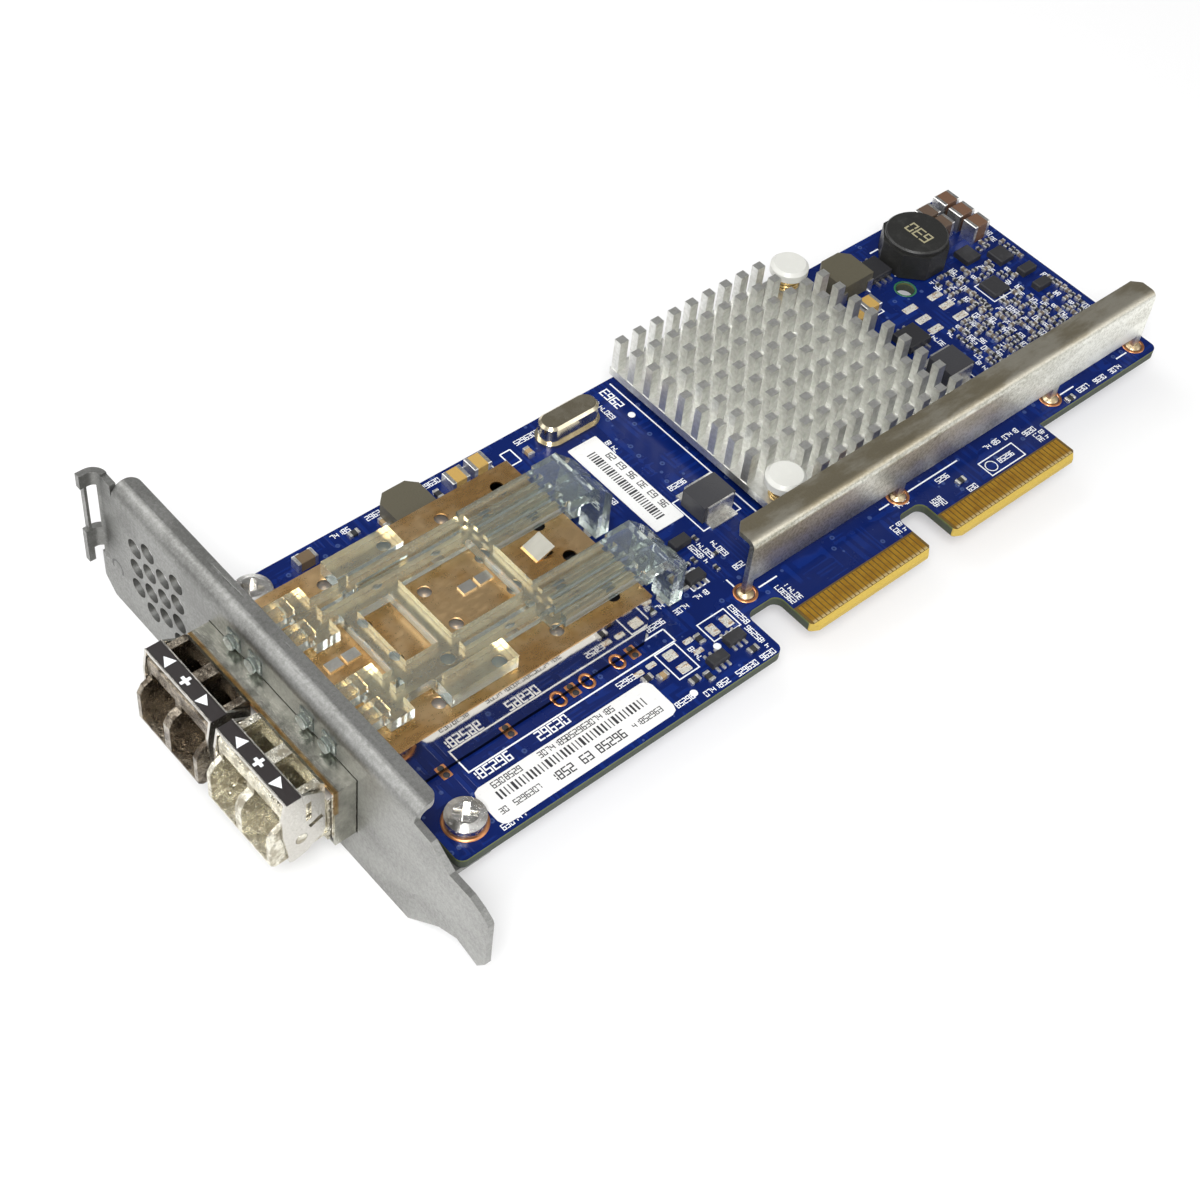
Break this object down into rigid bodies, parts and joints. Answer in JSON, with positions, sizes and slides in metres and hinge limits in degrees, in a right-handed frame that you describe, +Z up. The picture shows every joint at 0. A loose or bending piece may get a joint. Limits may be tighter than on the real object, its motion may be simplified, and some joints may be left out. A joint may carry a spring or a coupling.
{
  "type": "ethernet adapter card",
  "caption": "Low-profile ethernet adapter card with caged optical modules, light pipes, pin heat sink, stiffener rail and steel bracket.",
  "frame": {"origin": "outer face of the bracket, level with the board's component side, at the contact edge", "axes": "+X from the bracket along the board, +Y from the contact edge across the board, +Z up from the component side"},
  "size_m": [0.1598, 0.0796, 0.0231],
  "materials": {
    "circuit_board": "glossy solder mask",
    "gold_contacts": "plated",
    "bracket_steel": "satin zinc plate",
    "screw_steel": "plated",
    "cage_metal": "bright plated sheet",
    "collar_metal": "bright plated sheet",
    "clear_plastic": "clear moulding",
    "lamp_body": "small lamp",
    "sink_aluminium": "matt, as extruded",
    "chip_plastic": "moulded",
    "pad_grey": "soft pad",
    "nylon_white": "moulded",
    "spring_brass": "wire",
    "rail_steel": "bright tin",
    "can_steel": "drawn can",
    "choke_black": "moulded",
    "choke_grey": "moulded",
    "bead_ferrite": "ferrite",
    "capacitor_brown": "fired",
    "capacitor_umber": "fired",
    "capacitor_tan": "fired",
    "module_zinc": "plated casting",
    "cover_steel": "bright sheet",
    "module_green": "solder mask",
    "optic_steel": "turned",
    "bail_dark": "black print on plated sheet",
    "connector_black": "moulded"
  },
  "bodies": {
    "card": {"board": "circuit_board", "upper_contacts": "gold_contacts", "lower_contacts": "gold_contacts", "bracket": "bracket_steel", "bracket_screws": "screw_steel", "cage_shell": "cage_metal", "cage_floor": "cage_metal", "cage_divider": "cage_metal", "cage_collar": "collar_metal", "light_pipe": "clear_plastic", "status_lamps": "lamp_body", "heat_sink": "sink_aluminium", "controller_chip": "chip_plastic", "thermal_pad": "pad_grey", "push_pins": "nylon_white", "push_pin_springs": "spring_brass", "stiffener_rail": "rail_steel", "crystal_can": "can_steel", "power_inductor": "choke_black", "input_choke": "choke_grey", "rear_choke": "choke_grey", "input_bead": "bead_ferrite", "output_bead": "bead_ferrite", "tall_capacitors": "capacitor_brown", "bulk_capacitors": "capacitor_umber", "tan_capacitors": "capacitor_tan", "cage_side_capacitor": "capacitor_brown", "upper_switch": "chip_plastic", "lower_switch": "chip_plastic", "supervisor_chip": "chip_plastic", "power_chips": "chip_plastic", "small_chips": "chip_plastic", "near_module_housing": "module_zinc", "near_module_cover": "cover_steel", "near_module_board": "module_green", "near_module_optics": "optic_steel", "near_host_connector": "connector_black", "far_module_housing": "module_zinc", "far_module_cover": "cover_steel", "far_module_board": "module_green", "far_module_optics": "optic_steel", "far_host_connector": "connector_black"},
    "near_bail": {"near_bail": "bail_dark"},
    "far_bail": {"far_bail": "bail_dark"}
  },
  "joints": [
    {"name": "near_bail_hinge", "type": "hinge", "parent": "card", "child": "near_bail", "pos_m": [-0.0075, 0.0189, 0.0043], "axis": [0, -1, 0], "range_deg": [0, 90]},
    {"name": "far_bail_hinge", "type": "hinge", "parent": "card", "child": "far_bail", "pos_m": [-0.0075, 0.0337, 0.0043], "axis": [0, -1, 0], "range_deg": [0, 90]}
  ]
}
